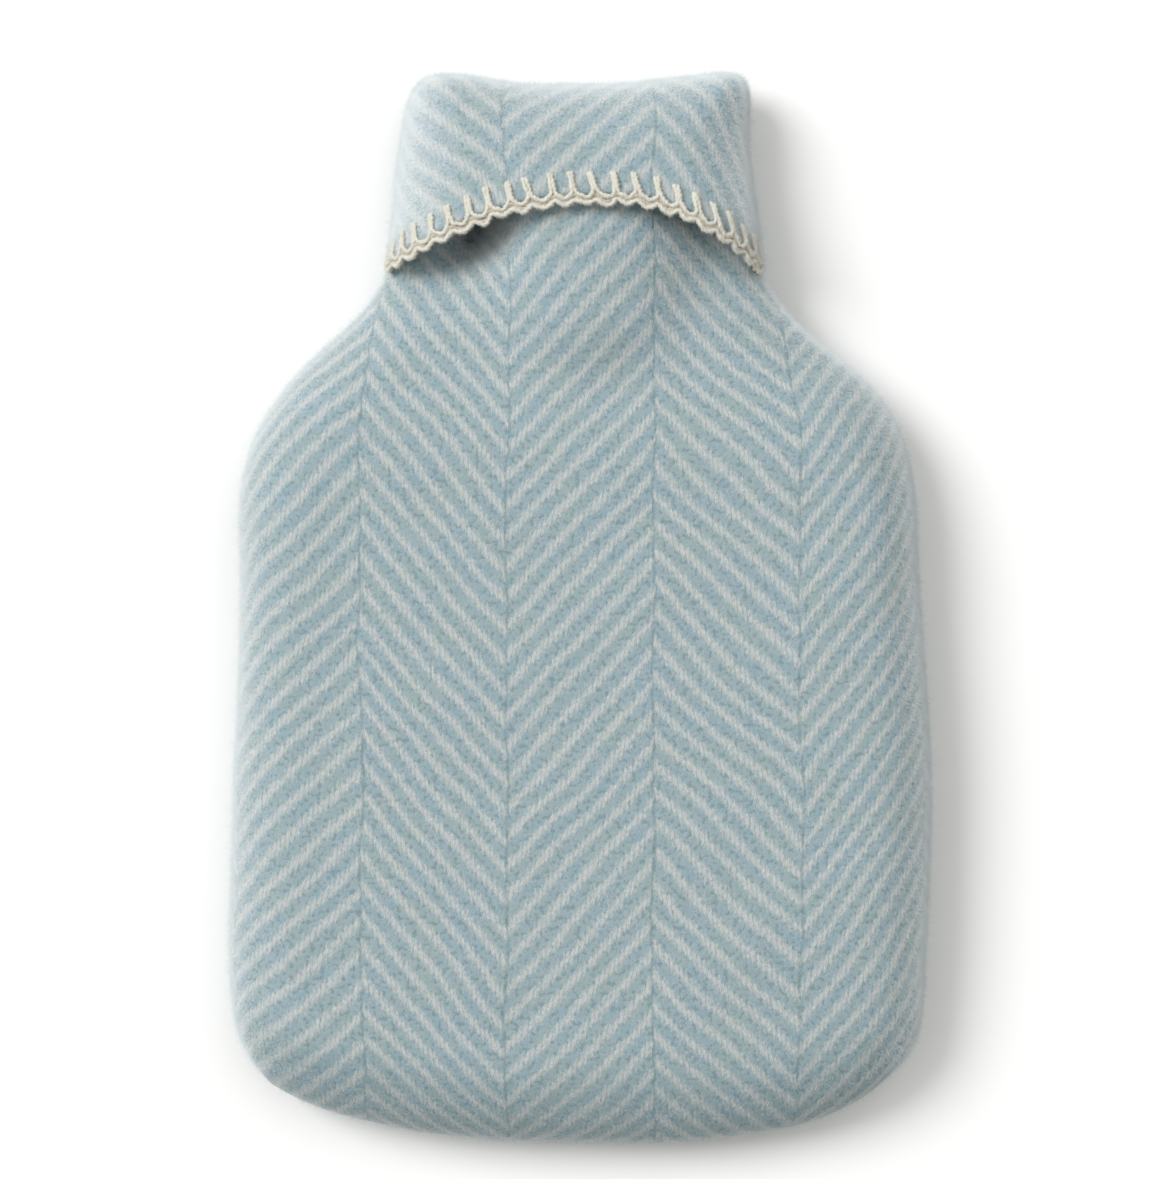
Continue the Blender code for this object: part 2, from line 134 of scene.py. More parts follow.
# %% Floor
bpy.ops.object.select_all(action="DESELECT")
bpy.ops.mesh.primitive_plane_add(size=6, location=(0, 0, 0))
floor = bpy.context.object
floor.name = "floor"
floor_material, _, floor_shader = new_material("matt white board")
floor_shader.inputs["Base Color"].default_value = colour("#F4F4F4")
floor_shader.inputs["Roughness"].default_value = 0.9
floor_shader.inputs["Specular IOR Level"].default_value = 0.1
floor.data.materials.append(floor_material)
print("floor:", floor.dimensions.x, "m")


# %% [markdown]
# ## The cloth of the two panels
#
# A solid panel is a copy of the real cloth with its thickness, made of loose triangles. The fine
# cloth starts from its outer side alone: the triangles are merged and joined into squares, and only
# the faces that can be reached without crossing a sharp edge are kept, which leaves the rim and the
# inner side behind. That single layer is smoothed, flattened for its weave, and thickened again.

# %% Join a solid panel's triangles into squares
WELD = 0.02 * MM


def squared_copy(node, name):
    """A new object with a solid panel's shape, merged and mostly in squares."""
    piece = bpy.data.objects.new(name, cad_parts[node].data.copy())
    bpy.context.scene.collection.objects.link(piece)
    piece.data.name = name
    piece.data.materials.clear()
    bpy.ops.object.select_all(action="DESELECT")
    piece.select_set(True)
    bpy.context.view_layer.objects.active = piece
    bpy.ops.object.mode_set(mode="EDIT")
    bpy.ops.mesh.select_all(action="SELECT")
    bpy.ops.mesh.customdata_custom_splitnormals_clear()
    bpy.ops.mesh.remove_doubles(threshold=WELD)
    bpy.ops.mesh.tris_convert_to_quads(face_threshold=radians(50), shape_threshold=radians(60))
    bpy.ops.object.mode_set(mode="OBJECT")
    return piece


front_cloth = squared_copy("front_panel", "front_cloth")
back_cloth = squared_copy("back_panel", "back_cloth")
print("faces of the panels:", len(front_cloth.data.polygons), "and", len(back_cloth.data.polygons))

# %% [markdown]
# The search for the outer side starts from the face that lies furthest out, and spreads from face to
# face like water. Joining squares can leave a pinhole here and there, which is closed at the end.

# %% Keep the outer side
RIM_ANGLE = radians(55)


def keep_outer_side(piece):
    """Deletes a panel's rim and inner side."""
    mesh = bmesh.new()
    mesh.from_mesh(piece.data)
    outermost = max(mesh.verts, key=lambda vert: abs(vert.co.x))
    seed = max(outermost.link_faces, key=lambda face: abs(face.normal.x))
    kept, waiting = {seed}, [seed]
    while waiting:
        for edge in waiting.pop().edges:
            if len(edge.link_faces) == 2 and edge.calc_face_angle() < RIM_ANGLE:
                fresh = [face for face in edge.link_faces if face not in kept]
                kept.update(fresh)
                waiting.extend(fresh)
    bmesh.ops.delete(mesh, geom=[face for face in mesh.faces if face not in kept], context="FACES")
    open_edges = [edge for edge in mesh.edges if edge.is_boundary]
    filled = bmesh.ops.holes_fill(mesh, edges=open_edges, sides=4)["faces"]
    print(f"{piece.name}: {len(mesh.faces)} faces, {len(filled)} pinholes filled")
    mesh.to_mesh(piece.data)
    mesh.free()
    piece.data.shade_smooth()


keep_outer_side(front_cloth)
keep_outer_side(back_cloth)

# %% [markdown]
# The front panel stops a little short of the neck's sides, so that the solids stay apart. Real
# cloth is soft and touches, and a hole would show at both ends of the flap. So the edge of the
# front's neck is eased outwards until it meets the flap's inner side.

# %% Ease the neck's edge outwards
EASE_FROM = 108.5 * MM
EASE_FULL_TO = 122 * MM
EASE_TO = 140 * MM
EASE_OUT = 2.6 * MM
EASE_REACH = 12 * MM
TAB_SIDE = 40 * MM


def smooth_step(value, start, end):
    """0 before start, 1 after end, and smooth between them."""
    share = np.clip((value - start) / (end - start), 0, 1)
    return share * share * (3 - 2 * share)


def ease_neck(piece):
    """Moves the tab's side edges out, and the cloth near them by less."""
    mesh = bmesh.new()
    mesh.from_mesh(piece.data)
    tab = [vert for vert in mesh.verts if vert.co.y > EASE_FROM]
    side_points = [vert.co.copy() for vert in tab if vert.is_boundary and abs(vert.co.x) > TAB_SIDE]
    for vert in tab:
        nearest = min((vert.co - point).length for point in side_points)
        weight = 1 - smooth_step(nearest, 0, EASE_REACH)
        weight *= 1 - smooth_step(vert.co.y, EASE_FULL_TO, EASE_TO)
        vert.co.x += weight * EASE_OUT * (1 if vert.co.x > 0 else -1)
    mesh.to_mesh(piece.data)
    mesh.free()
    print(f"{piece.name}: eased round {len(side_points)} points of its edge")


ease_neck(front_cloth)

# %% [markdown]
# ## Flattening the cloth
#
# A weave has to lie on the cloth as it lay on the loom, so each layer is unwrapped with as little
# stretch as possible, which gives the flat piece that a maker cut out. The back panel is a tube at
# the neck, so it is cut open first where its side seams are.

# %% Unwrap both layers
WEAVE_MAP = "weave"
FOLD_CORNER = 165 * MM


def cut_neck_open(piece):
    """Marks the neck's side seams, where the flap's faces meet those of the underside."""
    mesh = bmesh.new()
    mesh.from_mesh(piece.data)
    for edge in mesh.edges:
        if len(edge.link_faces) == 2:
            over, under = sorted(face.normal.z for face in edge.link_faces)[::-1]
            middle = (edge.verts[0].co + edge.verts[1].co) / 2
            edge.seam = over > 0 >= under and middle.y < FOLD_CORNER
    print(f"{piece.name}: cut open along {sum(edge.seam for edge in mesh.edges)} edges")
    mesh.to_mesh(piece.data)
    mesh.free()


def unwrap(piece):
    """Gives the piece a map of its cloth laid flat, at any size and turn."""
    piece.data.uv_layers.new(name=WEAVE_MAP)
    bpy.ops.object.select_all(action="DESELECT")
    piece.select_set(True)
    bpy.context.view_layer.objects.active = piece
    bpy.ops.object.mode_set(mode="EDIT")
    bpy.ops.mesh.select_all(action="SELECT")
    bpy.ops.uv.unwrap(method="MINIMUM_STRETCH", iterations=60, margin=0)
    bpy.ops.object.mode_set(mode="OBJECT")


cut_neck_open(back_cloth)
unwrap(front_cloth)
unwrap(back_cloth)

# %% [markdown]
# The map is then scaled until its area is the cloth's own, and turned in line with the cover, so its
# units are real metres. The front is lined up by its broad part, and the back by the top of the flap.

# %% Bring the maps to real size
BROAD_BELOW = 60 * MM
FLAP_TOP_FROM = 115 * MM
FLAP_TOP_ABOVE = 20 * MM


def read_values(elements, name, width):
    """One property of every element, such as each vertex's place, as rows of width numbers."""
    values = np.zeros(len(elements) * width)
    elements.foreach_get(name, values)
    return values.reshape(-1, width)


def area_on_map(mesh, places):
    """The area of a mesh's faces on its map."""
    area = 0.0
    for polygon in mesh.polygons:
        corners = places[list(polygon.loop_indices)]
        after = np.roll(corners, -1, axis=0)
        area += abs(np.sum(corners[:, 0] * after[:, 1] - corners[:, 1] * after[:, 0])) / 2
    return area


def lined_up(places, points, chosen):
    """The map, turned and moved until its chosen corners match the cover seen from above."""
    flat_middle = places[chosen].mean(axis=0)
    real_middle = points[chosen, :2].mean(axis=0)
    spin = (places[chosen] - flat_middle).T @ (points[chosen, :2] - real_middle)
    angle = np.arctan2(spin[0, 1] - spin[1, 0], spin[0, 0] + spin[1, 1])
    turn = np.array([[cos(angle), sin(angle)], [-sin(angle), cos(angle)]])
    return (places - flat_middle) @ turn + real_middle


def size_map(piece, chosen_corners):
    """Brings the map to real size, lined up by its chosen corners. Returns its size and area."""
    mesh = piece.data
    places = read_values(mesh.uv_layers[WEAVE_MAP].data, "uv", 2)
    points = np.array([mesh.vertices[loop.vertex_index].co for loop in mesh.loops])
    real_area = sum(polygon.area for polygon in mesh.polygons)
    places *= (real_area / area_on_map(mesh, places)) ** 0.5
    places = lined_up(places, points, chosen_corners(points))
    mesh.uv_layers[WEAVE_MAP].data.foreach_set("uv", places.ravel())
    size = places.max(axis=0) - places.min(axis=0)
    print(f"{piece.name}: laid flat it is {size[0]:.3f} x {size[1]:.3f} m, {real_area:.4f} square metres")
    return tuple(size), real_area


def on_broad_part(points):
    """The bag below its shoulders."""
    return points[:, 1] < BROAD_BELOW


def on_flap_top(points):
    """The upper side of the flap."""
    return (points[:, 1] > FLAP_TOP_FROM) & (points[:, 2] > FLAP_TOP_ABOVE)


front_flat, front_area = size_map(front_cloth, on_broad_part)
back_flat, back_area = size_map(back_cloth, on_flap_top)

# %% [markdown]
# Folding has pulled the flap's left side askew, so its stripes run flatter there. The map is moved
# to match, from nothing at the turn of the weave to more and more towards the side.

# %% Pull the flap's weave askew
ASKEW = 0.22
ASKEW_LEFT_OF = -23 * MM
FLAP_FROM = 105 * MM
FLAP_HEIGHTS = (18 * MM, 30 * MM)


def pull_askew(piece):
    """Slides the flap's map up the cloth, by more the further it lies to the left."""
    for loop, place in zip(piece.data.loops, piece.data.uv_layers[WEAVE_MAP].data):
        point = piece.data.vertices[loop.vertex_index].co
        if point.y > FLAP_FROM:
            on_top = float(smooth_step(point.z, *FLAP_HEIGHTS))
            place.uv[1] += ASKEW * on_top * max(0.0, ASKEW_LEFT_OF - place.uv[0])
    print(f"{piece.name}: the flap's left stripes run {ASKEW:.0%} flatter")


pull_askew(back_cloth)

# %% [markdown]
# ## Soft cloth with its real thickness
#
# Each layer is smoothed once and made a little uneven, as hand-sewn cloth is. The unevenness comes
# from noise, and fades out where the cloth lies flat on the surface.

# %% Smooth and dent the layers
DENT = 0.6 * MM
DENT_SIZE = 21 * MM
FLAT_BELOW = 4 * MM
FREE_ABOVE = 10 * MM


def apply_modifier(piece, kind, **settings):
    """Adds a modifier with its settings and applies it."""
    modifier = piece.modifiers.new(kind.lower(), kind)
    for name, value in settings.items():
        setattr(modifier, name, value)
    bpy.context.view_layer.objects.active = piece
    bpy.ops.object.modifier_apply(modifier=modifier.name)


def dent(piece, seed):
    """Small soft unevenness on all the cloth that is off the surface."""
    offset = Vector((seed, 0, 0))
    for vert in piece.data.vertices:
        free = float(smooth_step(vert.co.z, FLAT_BELOW, FREE_ABOVE))
        vert.co += vert.normal * (DENT * free * noise.noise(vert.co / DENT_SIZE + offset))


for piece, seed in ((front_cloth, 0.0), (back_cloth, 7.3)):
    apply_modifier(piece, "SUBSURF", levels=1, render_levels=1)
    dent(piece, seed)
    print(f"{piece.name}: {len(piece.data.polygons)} faces, dented up to {DENT / MM} mm")

# %% [markdown]
# The neck of the cloth is wider than what it goes round, so under the flap's left end the front folds
# in and leaves a deep, dark hollow. One lopsided dip makes it, steep on the right and easy on the
# left, and its slope carries on a little way below the flap.

# %% Sink the front under the flap's left end
HOLLOW_AT = Vector((-34.5 * MM, 122.5 * MM))
HOLLOW_WAY = Vector((-0.6, -0.8))
HOLLOW_LONG = 9 * MM
HOLLOW_RIGHT = 2.8 * MM
HOLLOW_LEFT = 10 * MM
HOLLOW_DEEP = 22 * MM


def sink_hollow(piece):
    """Lowers the cloth round the hollow, most at its middle."""
    deepest = 0.0
    for vert in piece.data.vertices:
        away = vert.co.to_2d() - HOLLOW_AT
        along = away.dot(HOLLOW_WAY) / HOLLOW_LONG
        across = away.dot(-HOLLOW_WAY.orthogonal())
        across /= HOLLOW_RIGHT if across > 0 else HOLLOW_LEFT
        sunk = HOLLOW_DEEP * exp(-(along ** 2 + across ** 2))
        vert.co.z -= sunk
        deepest = max(deepest, sunk)
    print(f"{piece.name}: sunk by up to {deepest / MM:.1f} mm")


sink_hollow(front_cloth)

# %% [markdown]
# The wool is painted paler where it bends down to the side: painted haze, for the light that its
# fuzz scatters there. Along the foot of the bag, which faces away from the lamps, it gets no haze
# and is painted darker: painted shade. A number on every point of the cloth tells the finish which
# it is: above 0 for painted haze and below 0 for painted shade.

# %% Mark the painted haze and the painted shade
PAINTED_HAZE_AND_SHADE = "painted_haze_and_shade"
# How far the cloth must bend down for painted haze, and how steeply it must face the foot for painted
# shade.
BENT_DOWN = (0.08, 0.90)
PAINTED_SHADE_SLOPES = (0.06, 0.40)
FOOT_SLOPES = (0.25, 0.75)


def facing_foot(normals):
    """From 0 to 1, how steeply the cloth faces the foot of the bag: fully where the foot is steep. Fibres
    thin there, and it gets no painted haze.
    """
    return smooth_step(-normals[:, 1], *FOOT_SLOPES)


def mark_painted_haze_and_shade(piece):
    """Writes the number to every point of the piece."""
    normals = read_values(piece.data.vertices, "normal", 3)
    # Painted haze on the bends but not on the foot, then painted shade taken off where it faces the foot.
    painted_haze_and_shade = smooth_step(1 - np.abs(normals[:, 2]), *BENT_DOWN) * (1 - facing_foot(normals))
    painted_haze_and_shade -= smooth_step(-normals[:, 1], *PAINTED_SHADE_SLOPES)
    piece.data.attributes.new(PAINTED_HAZE_AND_SHADE, "FLOAT", "POINT").data.foreach_set("value", painted_haze_and_shade)
    print(f"{piece.name}: fullness from {painted_haze_and_shade.min():.2f} to {painted_haze_and_shade.max():.2f}")


# %% [markdown]
# The layers are thickened inwards and smoothed again, so that their edges turn round as thick wool
# does. First a smoothed copy of each thin layer is kept, for the nap and the stitching to stand on.

# %% Thicken the cloth
CLOTH = 3 * MM


def smoothed_copy(piece):
    """A mesh of the layer as it is now, smoothed once more."""
    layer = piece.copy()
    layer.data = piece.data.copy()
    bpy.context.scene.collection.objects.link(layer)
    apply_modifier(layer, "SUBSURF", levels=1, render_levels=1)
    mesh = layer.data
    bpy.data.objects.remove(layer)
    return mesh


front_layer = smoothed_copy(front_cloth)
back_layer = smoothed_copy(back_cloth)
for piece in (front_cloth, back_cloth):
    apply_modifier(piece, "SOLIDIFY", thickness=CLOTH, offset=-1, use_even_offset=False)
    apply_modifier(piece, "SUBSURF", levels=1, render_levels=1)
    piece.data.shade_smooth()
    mark_painted_haze_and_shade(piece)
    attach(piece, "root")
    piece.data.calc_loop_triangles()
    print(f"{piece.name}: {len(piece.data.loop_triangles)} triangles")
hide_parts("front_panel")
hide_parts("back_panel")

# %% [markdown]
# ## The finish: brushed wool in a wide herringbone
#
# Cream and light blue yarns cross in a twill whose diagonals turn back every 46 mm. A picture of the
# cloth would blur close up, so nodes work the weave out from the map, in millimetres on the flat
# cloth. They start from a place that is never quite square: a slow drift and a short shiver move
# every stripe, and the rows bow a little from side to side.

# %% Places on the flat cloth
DRIFT_SIZE = 45
DRIFT = (5, 5, 0)
SHIVER_SIZE = 2.2
SHIVER = (1.0, 1.3, 0)
BOW = 0.001


def cloth_places(tree):
    """The flat place in millimetres, and how far across and along the cloth it is once moved."""
    place = add_node(tree, "UVMap", uv_map=WEAVE_MAP)
    flat = add_node(tree, "VectorMath", place, (1000, 1000, 1000), operation="MULTIPLY")
    moved = flat
    for size, detail, reach in ((DRIFT_SIZE, 1.0, DRIFT), (SHIVER_SIZE, 2.0, SHIVER)):
        shift = add_node(tree, "TexNoise", flat, 1 / size, detail, noise_dimensions="2D").outputs["Color"]
        shift = add_node(tree, "VectorMath", shift, (-0.5, -0.5, 0), operation="ADD")
        moved = add_node(tree, "VectorMath", shift, reach, moved, operation="MULTIPLY_ADD")
    split = add_node(tree, "SeparateXYZ", moved)
    across = split.outputs["X"]
    bowed = add_node(tree, "Math", across, across, operation="MULTIPLY")
    along = add_node(tree, "Math", bowed, -BOW, split.outputs["Y"], operation="MULTIPLY_ADD")
    return flat, across, along


# %% [markdown]
# The weave has upright columns, and its stripes climb to the right in one column and to the left in
# the next. Each stripe is a flight of short steep dashes, one for each pair of yarns: the floats
# where a yarn lies on top of the others. They lean a little off upright, with the column.

# %% Columns and dashes
COLUMN = 46.0
DASH = 1.3
LEAN = 0.22


def columns(tree, across, start):
    """If the column is odd (0 or 1), the way it leans (-1 or 1), and how far off its edge is."""
    column = add_node(tree, "Math", across, start, operation="SUBTRACT")
    column = add_node(tree, "Math", column, COLUMN, operation="DIVIDE")
    number = add_node(tree, "Math", column, operation="FLOOR")
    odd = add_node(tree, "Math", number, 2.0, operation="FLOORED_MODULO")
    way = add_node(tree, "Math", odd, 2.0, -1.0, operation="MULTIPLY_ADD")
    from_edge = add_node(tree, "Math", column, 0.5, operation="PINGPONG")
    from_edge = add_node(tree, "Math", from_edge, COLUMN, operation="MULTIPLY")
    return odd, way, from_edge


def dashes(tree, across, along, way):
    """How far off the dash's edge is, and how far across the cloth the whole dash counts as being."""
    lean = add_node(tree, "Math", way, LEAN, operation="MULTIPLY")
    tilt = add_node(tree, "Math", lean, along, operation="MULTIPLY")
    dash = add_node(tree, "Math", tilt, across, operation="ADD")
    dash = add_node(tree, "Math", dash, DASH, operation="DIVIDE")
    dash_edge = add_node(tree, "Math", dash, 0.5, operation="PINGPONG")
    number = add_node(tree, "Math", dash, operation="FLOOR")
    middle = add_node(tree, "Math", number, DASH, DASH / 2, operation="MULTIPLY_ADD")
    return dash_edge, add_node(tree, "Math", middle, tilt, operation="SUBTRACT")


# %% [markdown]
# Wool is uneven at every size, so a set of noises is made once and used for all that follows: streaks
# of spun fibre and ragged tufts, which are longer than wide, then felt, patches, swells and clouds.

# %% The wool's unevenness
SPUN = (1.9, 0.33, 1)
TUFTED = (1.6, 0.6, 1)


def wool_noises(tree, flat):
    """The noises by name, each with its size in millimetres."""
    spun = add_node(tree, "Mapping", flat, None, None, SPUN)
    tufted = add_node(tree, "Mapping", flat, None, None, TUFTED)
    return {
        "streaks": add_node(tree, "TexNoise", spun, 1 / 0.42, 3.0, 0.7, noise_dimensions="2D"),
        "tufts": add_node(tree, "TexNoise", tufted, 1 / 1.1, 3.0, 0.6, noise_dimensions="2D"),
        "felt": add_node(tree, "TexNoise", flat, 1 / 1.6, 3.0, 0.55, noise_dimensions="2D"),
        "patches": add_node(tree, "TexNoise", flat, 1 / 4, 2.0, noise_dimensions="2D"),
        "swells": add_node(tree, "TexNoise", flat, 1 / 5, 2.0, noise_dimensions="2D"),
        "clouds": add_node(tree, "TexNoise", flat, 1 / 14, 2.0, noise_dimensions="2D"),
    }


# %% [markdown]
# The stripes are a triangle wave up the cloth, with nearly half a stripe's break from column to
# column. Where the wave is low the cloth is cream. Brushing has raised the fibres, so the border is
# wide and soft, and the noises make it ragged.

# %% Cream stripes
CREAM_SHARE = 0.35
BORDER = 0.16
BREAK = 0.42
RAGGED = 0.55
SWOLLEN = 0.22


def cream_stripes(tree, wool, dash_across, along, odd, way, period, slope):
    """From 0 on the blue to 1 on the cream. period is in millimetres along the cloth."""
    steepness = add_node(tree, "Math", way, slope, operation="MULTIPLY")
    climb = add_node(tree, "Math", steepness, dash_across, along, operation="MULTIPLY_ADD")
    stripe = add_node(tree, "Math", climb, period, operation="DIVIDE")
    stripe = add_node(tree, "Math", add_node(tree, "Math", odd, BREAK, operation="MULTIPLY"), stripe,
                      operation="ADD")
    wave = add_node(tree, "Math", stripe, 0.5, operation="PINGPONG")
    level = add_node(tree, "Math", wool["tufts"], RAGGED, wave, operation="MULTIPLY_ADD")
    level = add_node(tree, "Math", wool["swells"], SWOLLEN, level, operation="MULTIPLY_ADD")
    level = add_node(tree, "Math", level, (RAGGED + SWOLLEN) / 2, operation="SUBTRACT")
    return add_node(tree, "MapRange", level, CREAM_SHARE / 2 + BORDER, CREAM_SHARE / 2 - BORDER,
                    interpolation_type="SMOOTHSTEP")


# %% [markdown]
# Two kinds of thin shadow belong to the weave: a notch between two dashes of a cream stripe, and a
# groove where a column turns, which comes and goes along the cloth.

# %% Notches and grooves
NOTCH = (0.18, 0.0)
NOTCH_DARKNESS = 0.4
GROOVE = (0.75, 0.15)
GROOVE_DARKNESS = 0.7


def notches(tree, dash_edge, cream):
    """The gaps between dashes, on the cream alone."""
    notch = add_node(tree, "MapRange", dash_edge, *NOTCH, 0.0, NOTCH_DARKNESS,
                     interpolation_type="SMOOTHSTEP")
    return add_node(tree, "Math", notch, cream, operation="MULTIPLY")


def grooves(tree, from_edge, swells):
    """The turns of the weave."""
    groove = add_node(tree, "MapRange", from_edge, *GROOVE, 0.0, GROOVE_DARKNESS,
                      interpolation_type="SMOOTHSTEP")
    return add_node(tree, "Math", groove, swells, operation="MULTIPLY")


# %% [markdown]
# Blue wool is spun from fibres of several blues, which show as streaks, patches and clouds, with dark
# gaps in the felt. The cream is laid over it, not quite solid, and then the shadows of the weave. Last
# comes what was marked on the cloth's points: painted haze where it bends, and painted shade along the
# foot.

# %% Colours of the wool
STREAK_CONTRAST = (0.3, 0.7)
CREAM_COVER = 0.68
BLUE_TINTS = (
    ("patches", 0.35, 0.65, 0.6, "#88A0AB"),
    ("clouds", 0.35, 0.65, 0.5, "#96A6A5"),
    ("felt", 0.50, 0.32, 0.6, "#6D8388"),
)
PAINTED_HAZE_ON_BENDS = 0.2
PAINTED_FOOT_SHADE = 0.25


def wool_colours(tree, wool, cream, notch, groove, painted_fibre_haze):
    """The cloth's colour. Its last argument, from 0 to 1, fades it all into pale wool: painted haze."""
    streaks = add_node(tree, "MapRange", wool["streaks"], *STREAK_CONTRAST,
                       interpolation_type="SMOOTHSTEP")
    cloth = add_node(tree, "Mix", streaks, colour("#889BA3"), colour("#A1B1B8"), data_type="RGBA")
    for name, start, end, most, tint in BLUE_TINTS:
        share = add_node(tree, "MapRange", wool[name], start, end, 0.0, most,
                         interpolation_type="SMOOTHSTEP")
        cloth = add_node(tree, "Mix", share, cloth, colour(tint), data_type="RGBA")
    pale = add_node(tree, "Mix", streaks, colour("#B6B7B5"), colour("#D3D4D2"), data_type="RGBA")
    cover = add_node(tree, "Math", cream, CREAM_COVER, operation="MULTIPLY")
    cloth = add_node(tree, "Mix", cover, cloth, pale, data_type="RGBA")
    # Painted haze: paler on the bends, and paler all over in the fibres' copies. Painted shade: darker
    # along the foot.
    painted_haze_and_shade = add_node(tree, "Attribute", attribute_name=PAINTED_HAZE_AND_SHADE).outputs["Fac"]
    painted_haze = add_node(tree, "Math", painted_haze_and_shade, PAINTED_HAZE_ON_BENDS, painted_fibre_haze, operation="MULTIPLY_ADD",
                        use_clamp=True)
    # Painted shade along the foot, which faces away from the lamps.
    painted_foot_shade = add_node(tree, "Math", painted_haze_and_shade, -PAINTED_FOOT_SHADE, operation="MULTIPLY", use_clamp=True)
    for share, tint in ((notch, "#839596"), (groove, "#688188"), (painted_haze, "#ECEFF0"), (painted_foot_shade, "#5F7378")):
        cloth = add_node(tree, "Mix", share, cloth, colour(tint), data_type="RGBA")
    return cloth.outputs["Result"]


# %% [markdown]
# The relief adds the same things up as heights: felt and streaks rise and fall, the cream yarns stand
# a little proud, and notches and grooves are cut in. Wool scatters light in its fuzz, so it is rough
# and hardly glossy, with a pale sheen where it is seen from the side.

# %% Herringbone wool
FELT_HEIGHT = 0.9
RELIEF = 0.45 * MM


def herringbone_wool(name, column_start, period, slope, painted_fibre_haze):
    """A wool finish for a weave with the given first column, stripe and steepness."""
    material, tree, shader = new_material(name)
    flat, across, along = cloth_places(tree)
    odd, way, from_edge = columns(tree, across, column_start)
    dash_edge, dash_across = dashes(tree, across, along, way)
    wool = wool_noises(tree, flat)
    cream = cream_stripes(tree, wool, dash_across, along, odd, way, period, slope)
    notch = notches(tree, dash_edge, cream)
    groove = grooves(tree, from_edge, wool["swells"])
    tree.links.new(wool_colours(tree, wool, cream, notch, groove, painted_fibre_haze), shader.inputs["Base Color"])
    relief = add_node(tree, "Math", wool["felt"], FELT_HEIGHT, operation="MULTIPLY")
    for part, height in ((wool["streaks"], 0.22), (cream, 0.25), (notch, -0.35), (groove, -0.6)):
        relief = add_node(tree, "Math", part, height, relief, operation="MULTIPLY_ADD")
    bump = add_node(tree, "Bump", 0.8, RELIEF, None, relief)
    tree.links.new(bump.outputs[0], shader.inputs["Normal"])
    shader.inputs["Roughness"].default_value = 0.95
    shader.inputs["Specular IOR Level"].default_value = 0.15
    shader.inputs["Sheen Weight"].default_value = 0.8
    shader.inputs["Sheen Roughness"].default_value = 0.3
    shader.inputs["Sheen Tint"].default_value = colour("#F2F4F4")
    print(f"{name}: {len(tree.nodes)} nodes")
    return material


# %% [markdown]
# The flap's stripes are taller and steeper than the front's, because the two panels were cut from
# different places and pulled differently. The numbers of a weave are where a column starts, the
# height of a stripe, both in millimetres, and how steeply the stripes climb.

# %% Finish both panels
FRONT_WEAVE = (-23.0, 9.5, 1.08)
BACK_WEAVE = (-23.4, 11.1, 1.18)
front_wool = herringbone_wool("brushed herringbone wool, front", *FRONT_WEAVE, painted_fibre_haze=0.0)
back_wool = herringbone_wool("brushed herringbone wool, back", *BACK_WEAVE, painted_fibre_haze=0.0)
front_cloth.data.materials.append(front_wool)
back_cloth.data.materials.append(back_wool)

# %% [markdown]
# ## The nap
#
# Brushing leaves a fine fur that blurs the outline. Blender can grow hair, but a mesh is easier to
# take elsewhere, so each fibre is a single thin face that tapers to its tip. Its root is a random
# place on the thin layer, more often where a weight is high.

# %% Scatter places on the cloth
def unit(vectors):
    """The same directions, each 1 long."""
    return vectors / np.linalg.norm(vectors, axis=1)[:, None]


def scattered(mesh, count, weight, rng):
    """count random places on a mesh: their points, normals and weave places."""
    mesh.calc_loop_triangles()
    verts = np.array([triangle.vertices[:] for triangle in mesh.loop_triangles])
    loops = np.array([triangle.loops[:] for triangle in mesh.loop_triangles])
    points = read_values(mesh.vertices, "co", 3)[verts]
    normals = read_values(mesh.vertices, "normal", 3)[verts]
    weave = np.zeros((len(mesh.loops), 2))
    if WEAVE_MAP in mesh.uv_layers:
        weave = read_values(mesh.uv_layers[WEAVE_MAP].data, "uv", 2)
    areas = np.linalg.norm(np.cross(points[:, 1] - points[:, 0], points[:, 2] - points[:, 0]), axis=1)
    chance = areas * weight(points.mean(axis=1), normals.mean(axis=1))
    chosen = rng.choice(len(points), count, p=chance / chance.sum())
    mix = rng.dirichlet((1, 1, 1), count)[:, :, None]
    spots = (points[chosen] * mix).sum(axis=1)
    facing = unit((normals[chosen] * mix).sum(axis=1))
    return spots, facing, (weave[loops][chosen] * mix).sum(axis=1)


# %% [markdown]
# The fibres lean as the brush left them, mostly towards the foot of the bag. Each is far thinner than
# a pixel, so what counts is how light falls on many of them together: on fur, mostly from above. So
# each face is turned to look upwards, and shaded like that as well. Faces that look away from the
# lamps would come out black, and draw a dark line round the cover.

# %% Shape the fibres
UP = np.array([0.0, 0.0, 1.0])
UPWARDS = 2.5
BRUSHED = np.array([0.2, -0.8, 0.0])
UNRULY = 0.8
SHORTEST = 0.25
MOSTLY_SHORT = 1.6
SLIM_ON_TOP = 0.75
STOUTER_ASIDE = 0.5
UNEVENLY_STOUT = (0.7, 1.3)
LOWEST = 0.2 * MM


